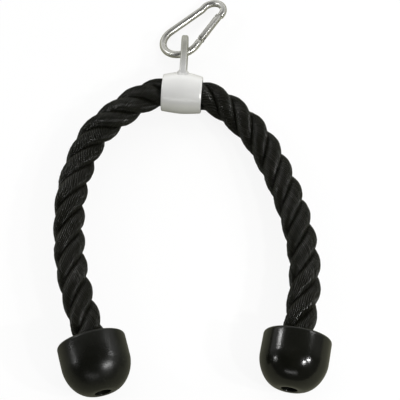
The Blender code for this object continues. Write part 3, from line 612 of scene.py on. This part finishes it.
def strand_ring(strand, length, settings):
    """Middle of a strand at a length, its outward and sideways axes, and the length."""
    reach = 0.002
    swell_share, swells = 0.022, 45
    middle, direction, up, side = rope_frame(length)
    angle = strand_turn(length) + FULL_TURN * strand / STRANDS
    turned = strand_turn(length + reach) - strand_turn(length - reach)
    slope = settings.strand_offset * turned / (2 * reach)
    out = cos(angle) * up + sin(angle) * side
    round_way = -sin(angle) * up + cos(angle) * side
    lead = (direction + slope * round_way).normalized()
    swell = 1 + swell_share * noise.noise(Vector((length * swells, strand * 7.3, 0.4)))
    return middle + out * settings.strand_offset, out * swell, lead.cross(out) * swell, length


def lay_strand(bm, strand, lengths, settings):
    """One strand, whose yarns stand up as uneven ridges."""
    uneven, waves = 0.6, 90
    rings = [strand_ring(strand, length, settings) for length in lengths]
    rows = len(rings) - 1
    sides = settings.yarns * YARN_STEPS

    def place(u, v):
        centre, out, across, length = rings[round(u * rows)]
        step = round(v * sides) % sides
        angle = FULL_TURN * (step / sides - settings.yarn_turns * length)
        ridge = abs(sin(pi * step / YARN_STEPS)) ** YARN_ROUNDNESS
        yarn = step // YARN_STEPS
        wander = noise.noise(Vector((yarn * 3.7, length * waves, strand * 5.1)))
        lift = settings.yarn_ridge * (ridge * (1 + uneven * wander) - RIDGE_MIDDLE)
        return (centre + (settings.strand_depth + lift) * cos(angle) * out
                + (settings.strand_width + lift) * sin(angle) * across)

    skin(bm, rows, sides, place, uvs=True)


def rope_leg(name, start, end, settings):
    """Three laid strands from start to end, mapped in metres along the rope."""
    run = end - start
    rows = round(run / ROW_SPACING)
    lengths = [start + run * k / rows for k in range(rows + 1)]
    bm = bmesh.new()
    layer = bm.loops.layers.uv.new(YARN_MAP)
    for strand in range(STRANDS):
        lay_strand(bm, strand, lengths, settings)
    for face in bm.faces:
        for loop in face.loops:
            u, v = loop[layer].uv
            loop[layer].uv = (u * run, v)
    close_ends(bm)
    return add_piece(name, bm, "rope", angle=50)


class ROPEATT_OT_rope(bpy.types.Operator):
    """Lay the rope's two legs, from the sleeve's middle into the stoppers"""
    bl_idname = "ropeatt.rope"
    bl_label = "Add Rope"

    def execute(self, context):
        settings = context.scene.rope_rope
        steps = 60
        middle = ROPE.nearest(SLEEVE_MIDDLE)
        spans = {"left": (0.0, middle), "right": (middle, ROPE.length)}
        for side, (start, end) in spans.items():
            leg = rope_leg("laid_rope_" + side, start, end, settings)
            path = [tuple(ROPE.at(start + (end - start) * k / steps)) for k in range(steps + 1)]
            if side == "left":
                path.reverse()
            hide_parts("rope_" + side, "rope_core")
            pivot = Vector(JOINTS[side + "_leg_flex"]["pos_m"])
            away = ROPE.tangent(ROPE.nearest(pivot)) * (-1 if side == "left" else 1)
            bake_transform(leg)
        return {"FINISHED"}


# Sleeve and eye plate

def sleeve_frame():
    """The sleeve's own axes: X along the rope, Y towards the eye."""
    return Matrix.Translation(SLEEVE_CENTRE) @ Matrix.Rotation(SLEEVE_YAW, 4, "Z")


def sleeve_radius(settings, x, angle):
    """Outer radius at a place along the sleeve and an angle from the eye's side."""
    share = min(1.0, abs(x) / (settings.length / 2))
    crown = 1 - share ** 1.5
    lift = max(0.0, cos(angle)) ** 2 * settings.eye_rise
    return settings.end_radius + crown * (settings.crown_radius - settings.end_radius + lift)


class ROPEATT_OT_sleeve(bpy.types.Operator):
    """Turn the barrel-shaped sleeve and raise its crown under the eye"""
    bl_idname = "ropeatt.sleeve"
    bl_label = "Add Sleeve"

    def execute(self, context):
        settings = context.scene.rope_sleeve
        half = settings.length / 2
        end, bore = settings.end_radius, settings.bore_radius
        rim, lead = 0.0009, 0.0006
        steps, rounds = 20, 112
        outside = arc((end - rim, rim - half), rim, -QUARTER, 0, 5)
        for k in range(1, steps):
            x = (half - rim) * sin(QUARTER * (2 * k / steps - 1))
            outside.append((sleeve_radius(settings, x, pi), x))
        outside += arc((end - rim, half - rim), rim, 0, QUARTER, 5)
        inside = arc((bore + lead, half - lead), lead, QUARTER, pi, 4)
        inside += arc((bore + lead, lead - half), lead, pi, 3 * QUARTER, 4)
        bm = bmesh.new()
        lathe(bm, outside + inside, rounds)
        bm.transform(Matrix.Rotation(QUARTER, 4, "Y"))
        self.raise_crown(bm, settings, bore + 2 * lead)
        bm.transform(Matrix.Translation(SLEEVE_SHIFT) @ sleeve_frame()
                     @ Matrix.Rotation(SLEEVE_SKEW, 4, "Z"))
        piece = add_piece("plated_sleeve", bm, "sleeve", angle=60)
        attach(piece, CORE_BODY)
        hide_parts("collar_sleeve")
        return {"FINISHED"}

    def raise_crown(self, bm, settings, inner):
        """Move the outer surface, beyond the inner radius, out on the eye's side."""
        for vert in bm.verts:
            x, y, z = vert.co
            radius = hypot(y, z)
            if radius > inner:
                extra = sleeve_radius(settings, x, atan2(z, y)) - sleeve_radius(settings, x, pi)
                grown = (radius + extra) / radius
                vert.co = (x, y * grown, z * grown)


def plate_section(settings, count, inset):
    """Outline of the eye plate from its foot round the eye, in (along, out)."""
    straight, foot_lift = 12, 0.0022
    radius = settings.eye_radius - inset
    seat = settings.bore_radius + foot_lift + inset
    reach = acos(radius / seat)
    foot = seat * sin(reach)
    side = [foot + (EYE_REACH - foot) * k / straight for k in range(1, straight)]
    points = [(radius, out) for out in side]
    points += arc((0, EYE_REACH), radius, 0, pi, count - 3 * straight)
    points += [(-radius, out) for out in reversed(side)]
    return points + arc((0, 0), seat, pi - reach, reach, straight)


class ROPEATT_OT_eye_plate(bpy.types.Operator):
    """Cut the eye plate, round its edges and run weld beads along its foot"""
    bl_idname = "ropeatt.eye_plate"
    bl_label = "Add Eye Plate"

    def execute(self, context):
        settings = context.scene.rope_sleeve
        self.add_plate(settings)
        for name, side in (("left", -1), ("right", 1)):
            self.add_bead(name, side, settings)
        return {"FINISHED"}

    def add_plate(self, settings):
        half = settings.plate_thickness / 2
        count = 72
        edge_rounding, hole_rounding = 0.0019, 0.0014
        bm = bmesh.new()

        def outline(inset):
            return plate_section(settings, count, inset)

        def hole(inset):
            return arc((0, EYE_REACH), settings.hole_radius + inset, 0, FULL_TURN, count)[:-1]

        def rounded(shape, soft, margin=0.0003, steps=6):
            """Loops over one rounded side, from the upper face to the lower one."""
            turns = [QUARTER * k / steps for k in range(steps, -1, -1)]
            levels = [(soft + margin, half)]
            levels += [(soft * (1 - cos(turn)), half - soft * (1 - sin(turn)))
                       for turn in turns]
            levels += [(inset, -height) for inset, height in reversed(levels)]
            made = []
            for inset, height in levels:
                verts = [bm.verts.new((a, b, height)) for a, b in shape(inset)]
                made.append([bm.edges.new(pair) for pair in zip(verts, verts[1:] + verts[:1])])
            return made

        outer, inner = rounded(outline, edge_rounding), rounded(hole, hole_rounding)
        for loops in (outer, inner):
            for first, second in zip(loops, loops[1:]):
                bmesh.ops.bridge_loops(bm, edges=first + second)
        for face, way in ((0, 1), (-1, -1)):
            bmesh.ops.triangle_fill(bm, edges=outer[face] + inner[face], use_beauty=True,
                                    normal=(0, 0, way))
        bm.transform(Matrix.Rotation(-QUARTER, 4, "Y"))
        bm.transform(sleeve_frame())
        piece = add_piece("plated_eye", bm, "plate", angle=50)
        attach(piece, CORE_BODY)
        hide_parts("eye_plate")

    def add_bead(self, name, side, settings):
        """A bead along one side of the plate's foot and round half of each end."""
        leg, bend, eye_rise = 0.0031, 0.0014, 0.0012
        plate_overlap, sleeve_overlap = 0.0005, 0.0004
        ripple, ripples, uneven = 0.04, 46, 0.06
        # The bead's section, as shares of its leg: radius, and how deep it may lie.
        bulge, depth = 0.62, -0.2
        half = settings.plate_thickness / 2
        crown = settings.crown_radius + eye_rise
        straight = crown * asin(settings.eye_radius / crown) - bend
        turn = bend * QUARTER
        run = straight + turn + half - bend

        def place(u, v):
            way = 1 if u > 0.5 else -1
            gone = abs(2 * u - 1) * run
            corner = min(max(0.0, (gone - straight) / bend), QUARTER)
            x = half - bend + bend * cos(corner) - max(0.0, gone - straight - turn)
            angle = way * (min(gone, straight) + bend * sin(corner)) / crown
            up = Vector((0, cos(angle), sin(angle)))
            endways = Vector((0, -sin(angle), cos(angle)))
            outward = cos(corner) * Vector((1, 0, 0)) + sin(corner) * way * endways
            rising = (cos(corner) * up + sin(corner) * Vector((0, 1, 0))).normalized()
            size = leg * (1 + ripple * sin(angle * ripples) + uneven * noise.noise(
                Vector((angle * 9, side * x * 400, 0))))
            out = 0.5 + bulge * cos(FULL_TURN * v)
            lift = 0.5 + bulge * sin(FULL_TURN * v)
            hollow = max(0.0, out + lift - 1) * 0.5
            root = Vector((x, 0, 0)) - outward * plate_overlap + up * (
                sleeve_radius(settings, x, angle) - sleeve_overlap)
            point = root + size * (max(depth, out - hollow) * outward
                                   + max(depth, lift - hollow) * rising)
            return Vector((side * point.x, point.y, point.z))

        bm = bmesh.new()
        skin(bm, along=150, around=20, place=place)
        close_ends(bm)
        bm.transform(sleeve_frame())
        piece = add_piece("weld_bead_" + name, bm, "weld", angle=60)
        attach(piece, CORE_BODY)
        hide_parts("eye_weld_" + name)


# Snap hook

def axes_matrix(x, y, z):
    """Turn that lays X, Y and Z along three directions."""
    return Matrix((x, y, z)).transposed().to_4x4()


def loop_frame(settings):
    """The hook's loop in its own plane: X along it, Z across it."""
    swing, gate = JOINTS["hook_swing"], JOINTS["gate_opening"]
    along, normal = Vector(swing["axis"]), Vector(gate["axis"])
    inward = normal.cross(along)
    centre = Vector(swing["pos_m"]) + inward * settings.wide_radius
    x = cos(LOOP_TURN) * along + sin(LOOP_TURN) * inward
    return Matrix.Translation(centre) @ axes_matrix(x, normal.cross(x), normal)


def side_line(settings, sign):
    """Start, direction and length of one straight side, and the angle it leaves at."""
    angle = acos((settings.wide_radius - settings.narrow_radius) / settings.spacing)
    radial = Vector((cos(angle), sign * sin(angle), 0))
    start = radial * settings.wide_radius
    end = Vector((settings.spacing, 0, 0)) + radial * settings.narrow_radius
    return start, (end - start).normalized(), (end - start).length, angle


def gate_frame(settings):
    """The gate's axes at its rivet: X along it, Y into the loop."""
    start, along, _, _ = side_line(settings, -1)
    inward = Vector((-along.y, along.x, 0))
    return Matrix.Translation(start + along * RIVET_SETBACK) @ axes_matrix(along, inward, UP)


def hook_line(settings):
    """Centreline of the hook's wire from the rivet's shoulder to the nose."""
    shoulder, nose_gap = 0.0044, 0.0004
    joggle, joggle_steps, side_steps = 0.007, 9, 8
    step = settings.nose_step
    rivet = gate_frame(settings)
    start, spine, run, angle = side_line(settings, 1)
    out = Vector((cos(angle), sin(angle), 0))
    wide = arc((0, 0), settings.wide_radius, -angle, angle - FULL_TURN, 40)
    narrow = arc((settings.spacing, 0), settings.narrow_radius + step, angle, -angle, 36)
    points = [rivet @ Vector((-shoulder, 0, 0))]
    points += [Vector((x, y, 0)) for x, y in wide]
    points += [start + spine * (run - joggle) * k / side_steps for k in range(1, side_steps)]
    for share in (k / joggle_steps for k in range(joggle_steps)):
        rise = share * share * (3 - 2 * share)
        points.append(start + spine * (run - joggle * (1 - share)) + out * step * rise)
    points += [Vector((x, y, 0)) for x, y in narrow]
    points.append(rivet @ Vector((GATE_LENGTH + nose_gap, -step, 0)))
    return points


def wire(bm, points, radius, sides, rounding):
    """A round wire along flat points in its plane, with softened ends."""
    last, steps = len(points) - 1, 4
    rings = []
    for k, point in enumerate(points):
        ahead = (points[min(last, k + 1)] - points[max(0, k - 1)]).normalized()
        across = ahead.cross(UP)
        if 0 < k < last:
            rings.append((point, across, radius))
            continue
        inwards = ahead * (1 if k == 0 else -1) * rounding
        soft = [(point + inwards * (1 - cos(turn)), across,
                 radius - rounding * (1 - sin(turn)))
                for turn in (QUARTER * j / steps for j in range(steps))]
        rings += soft if k == 0 else reversed(soft)
    rows = len(rings) - 1

    def place(u, v):
        point, across, size = rings[round(u * rows)]
        angle = FULL_TURN * v
        return point + size * (cos(angle) * across + Vector((0, 0, sin(angle))))

    skin(bm, rows, sides, place)
    close_ends(bm)


def tongue(bm, outline, thickness, place, soft):
    """A flat tongue from an outline, its long edges softened."""
    before = set(bm.verts)
    face = bm.faces.new([bm.verts.new((x, y, -thickness / 2)) for x, y in outline])
    grown = bmesh.ops.extrude_face_region(bm, geom=[face])["geom"]
    tops = [g for g in grown if isinstance(g, bmesh.types.BMVert)]
    bmesh.ops.translate(bm, verts=tops, vec=(0, 0, thickness))
    level = {e for v in bm.verts if v not in before for e in v.link_edges
             if abs(e.verts[0].co.z - e.verts[1].co.z) < MERGE}
    soften(bm, list(level), soft)
    own = [v for v in bm.verts if v not in before]
    bmesh.ops.transform(bm, matrix=place, verts=own)


class ROPEATT_OT_hook(bpy.types.Operator):
    """Bend the snap hook's wire and form the tongues at its two ends"""
    bl_idname = "ropeatt.hook"
    bl_label = "Add Snap Hook"

    def execute(self, context):
        settings = context.scene.rope_hook
        thickness, soft = 0.0024, 0.0002
        radius, root = 0.0028, -0.0062
        place = gate_frame(settings)
        hinge = [(root, radius), (root, -radius)]
        hinge += arc((0, 0), radius, -QUARTER, QUARTER, 14)
        bm = bmesh.new()
        wire(bm, hook_line(settings), settings.wire_radius, sides=32, rounding=0.0006)
        for outline in (hinge, self.nose_outline(settings)):
            tongue(bm, outline, thickness, place, soft)
        bm.transform(loop_frame(settings))
        piece = add_piece("snap_hook_wire", bm, "hook", angle=40)
        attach(piece, HOOK_BODY)
        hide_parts("carabiner_body")
        return {"FINISHED"}

    def nose_outline(self, settings):
        """Side of the nose's tongue, with the notch that the latch pin rests in."""
        step = settings.nose_step
        root = GATE_LENGTH + 0.0019
        pin = GATE_LENGTH - 0.0032
        end = GATE_LENGTH - 0.0063
        room, wide, lip, corner = 0.0014, 0.0035, 0.0004, 0.0013
        notch = arc((pin, 0.0), room, 0, -pi, 8)
        return [(root, -wide - step / 2), (root, wide - step), (pin + room, wide - step),
                *notch, (pin - room, lip), (pin - room - corner, lip), (end, -room),
                (end, -wide + corner), (end + corner, -wide)]


class ROPEATT_OT_gate(bpy.types.Operator):
    """Fit the gate, its rivet and its latch pin"""
    bl_idname = "ropeatt.gate"
    bl_label = "Add Gate"

    def execute(self, context):
        copy_of("carabiner_gate", "snap_hook_gate", "gate", GATE_BODY, 0.00018)
        copy_of("gate_latch_pin", "snap_hook_latch_pin", "pin", GATE_BODY, 0.0001)
        copy_of("gate_rivet", "snap_hook_rivet", "pin", HOOK_BODY, 0.00015)
        return {"FINISHED"}


# Stoppers

def stopper_profile(settings):
    """Closed section, mouth at height 0 and foot downwards."""
    radius, foot = settings.radius, settings.foot_radius
    start, base = -settings.dome_start, -settings.height
    rim, lead, edge = 0.0034, 0.0012, 0.0007
    bore, hole, screw_hole = 0.0159, 0.00775, 0.0033
    bore_floor, web = -0.033, base + 0.014
    side_rows = (-0.01, -0.0165)
    power, steps = 1.85, 34
    profile = arc((bore + lead, -lead), lead, pi, QUARTER, 5)
    profile += arc((radius - rim, -rim), rim, QUARTER, 0, 9)
    profile += [(radius, row) for row in side_rows]
    for share in (sin(QUARTER * k / steps) for k in range(steps)):
        left = max(0.0, 1 - share ** power) ** (1 / power)
        profile.append((foot + (radius - foot) * left, start + (base - start) * share))
    profile.append((foot, base))
    profile += arc((hole + edge, base + edge), edge, -QUARTER, -pi, 4)
    return profile + [(hole, web), (screw_hole, web), (screw_hole, bore_floor),
                      (bore, bore_floor)]


class ROPEATT_OT_stoppers(bpy.types.Operator):
    """Mould the two rubber stoppers"""
    bl_idname = "ropeatt.stoppers"
    bl_label = "Add Stoppers"

    def execute(self, context):
        settings = context.scene.rope_stopper
        # Mould marks: waves in a metre, their depth, and the ring round the foot's hole
        # that stays even.
        waves, depth, even_ring = 45, 0.00022, settings.foot_radius + 0.004
        for side, (mouth, direction) in STOPPERS.items():
            seed = Vector((0, 0, 3 if side == "left" else 8))
            bm = bmesh.new()
            lathe(bm, stopper_profile(settings), steps=128)
            for vert in bm.verts:
                around = Vector((vert.co.x, vert.co.y, 0))
                if around.length > even_ring:
                    swell = noise.noise(vert.co * waves + seed)
                    vert.co += around.normalized() * (swell - 0.6) * depth
            turn = UP.rotation_difference(-direction).to_matrix().to_4x4()
            bm.transform(Matrix.Translation(mouth) @ turn)
            piece = add_piece("rubber_stopper_" + side, bm, "stopper",
                              finish="rubber_" + side, angle=50)
            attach(piece, side + "_leg")
            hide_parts("stopper_" + side)
        return {"FINISHED"}


class ROPEATT_OT_end_screws(bpy.types.Operator):
    """Fit the washer and the screw in each stopper's foot"""
    bl_idname = "ropeatt.end_screws"
    bl_label = "Add End Screws"

    def execute(self, context):
        for side in STOPPERS:
            copy_of("washer_" + side, "zinc_washer_" + side, "washer", side + "_leg", 0.0002)
            copy_of("screw_" + side, "zinc_screw_" + side, "screw", side + "_leg", 0.0003)
        return {"FINISHED"}


# Stage

class ROPEATT_OT_stage(bpy.types.Operator):
    """Set up the floor, the soft studio light and the camera"""
    bl_idname = "ropeatt.stage"
    bl_label = "Add Stage"

    def execute(self, context):
        settings = context.scene.rope_stage
        self.add_camera(settings)
        self.add_floor()
        self.add_sky(settings)
        for row in LAMPS:
            self.add_lamp(settings, *row)
        context.scene.view_settings.view_transform = "Standard"
        return {"FINISHED"}

    def add_camera(self, settings):
        tilt = settings.elevation
        ahead = Vector((0, cos(tilt), -sin(tilt)))
        data = bpy.data.cameras.new("camera")
        data.sensor_width = 36
        data.lens = settings.lens
        data.clip_start = 0.05
        data.clip_end = 50
        camera = link_object("camera", data)
        camera.location = CAMERA_TARGET - ahead * settings.camera_distance
        camera.rotation_euler = (QUARTER - tilt, 0, 0)
        bpy.context.scene.camera = camera

    def add_floor(self):
        """White to the camera; light that bounces from it is dull and olive."""
        white, dull = (0.9, 0.9, 0.89), (0.24, 0.24, 0.16)
        seen_share, mirrored_share = 0.88, 0.05
        bm = bmesh.new()
        bmesh.ops.create_grid(bm, x_segments=1, y_segments=1, size=4)
        bmesh.ops.translate(bm, verts=bm.verts, vec=(0, 0, -0.0004))
        mesh = bpy.data.meshes.new("studio_floor")
        bm.to_mesh(mesh)
        bm.free()
        finish = Finish("studio_floor", white, 0.9)
        glow = finish.node("ShaderNodeEmission", {"Color": (1, 1, 1, 1), "Strength": 1.0})
        path = finish.node("ShaderNodeLightPath").outputs
        seen = path["Is Camera Ray"]
        mirrored = finish.math("MAXIMUM", path["Is Glossy Ray"], path["Is Transmission Ray"])
        finish.set("Base Color", finish.blend(seen, dull, white))
        share = finish.math("MAXIMUM", finish.times(seen, seen_share),
                            finish.times(mirrored, mirrored_share))
        finish.feed(finish.tree.nodes["Material Output"].inputs["Surface"], finish.node(
            "ShaderNodeMixShader", {0: share, 1: finish.shader, 2: glow}))
        mesh.materials.append(finish.material)
        floor = link_object("studio_floor", mesh)

    def add_sky(self, settings):
        """White to the camera; to the rest a studio, bright behind and dark above."""
        smooth = {"interpolation_type": "SMOOTHSTEP"}
        world = bpy.data.worlds.new("studio")
        bpy.context.scene.world = world
        world.use_nodes = True
        sky = Nodes(world.node_tree)
        way = sky.node("ShaderNodeTexCoord").outputs["Generated"]
        _, behind, height = sky.node("ShaderNodeSeparateXYZ", {"Vector": way}).outputs
        path = sky.node("ShaderNodeLightPath").outputs
        wall = sky.spread(behind, -0.15, 0.8, 0.08 * settings.sky, settings.sky, **smooth)
        mirrored = sky.times(wall, sky.spread(height, 0.36, 0.68, 1.0, 0.14, **smooth))
        soft = sky.spread(behind, -0.2, 0.8, 0.13 * settings.fill, settings.fill, **smooth)
        mirror_ray = sky.math("MAXIMUM", path["Is Glossy Ray"], path["Is Transmission Ray"])
        lit = sky.node("ShaderNodeMix", {"Factor": mirror_ray, "A": soft, "B": mirrored})
        back = sky.tree.nodes["Background"].inputs
        sky.feed(back["Color"], (1, 1, 1, 1))
        sky.feed(back["Strength"], sky.math("MAXIMUM", lit, path["Is Camera Ray"]))

    def add_lamp(self, settings, name, azimuth, height, distance, size, power, shape):
        """An area lamp round the object, turned to its middle."""
        azimuth, height = radians(azimuth), radians(height)
        level = distance * cos(height)
        way = Vector((level * sin(azimuth), level * cos(azimuth), distance * sin(height)))
        data = bpy.data.lights.new(name, "AREA")
        data.shape = shape
        data.size, data.size_y = size
        data.energy = power * settings.lamps
        holder = link_object(name, data)
        holder.location = LAMP_TARGET + way
        holder.rotation_euler = (-way).to_track_quat("-Z", "Y").to_euler()


class ROPEATT_PT_panel(bpy.types.Panel):
    """Lists the steps that build the rope attachment"""
    bl_idname = "ROPEATT_PT_panel"
    bl_label = "Rope Attachment"
    bl_space_type = "VIEW_3D"
    bl_region_type = "UI"
    bl_category = "Rope Attachment"

    def draw(self, context):
        for step in STEPS:
            self.layout.operator(step.bl_idname)


GROUPS = {
    "rope_rope": RopeSettings,
    "rope_sleeve": SleeveSettings,
    "rope_hook": HookSettings,
    "rope_stopper": StopperSettings,
    "rope_stage": StageSettings,
}
STEPS = (ROPEATT_OT_stage, ROPEATT_OT_rope, ROPEATT_OT_sleeve, ROPEATT_OT_eye_plate,
         ROPEATT_OT_hook, ROPEATT_OT_gate, ROPEATT_OT_stoppers, ROPEATT_OT_end_screws)


def register():
    for name, group in GROUPS.items():
        bpy.utils.register_class(group)
        setattr(bpy.types.Scene, name, PointerProperty(type=group))
    for step in STEPS:
        bpy.utils.register_class(step)
    bpy.utils.register_class(ROPEATT_PT_panel)


def unregister():
    bpy.utils.unregister_class(ROPEATT_PT_panel)
    for step in reversed(STEPS):
        bpy.utils.unregister_class(step)
    for name, group in GROUPS.items():
        delattr(bpy.types.Scene, name)
        bpy.utils.unregister_class(group)


def main():
    register()
    for step in STEPS:
        family, action = step.bl_idname.split(".")
        getattr(getattr(bpy.ops, family), action)()


if __name__ == "__main__":
    main()
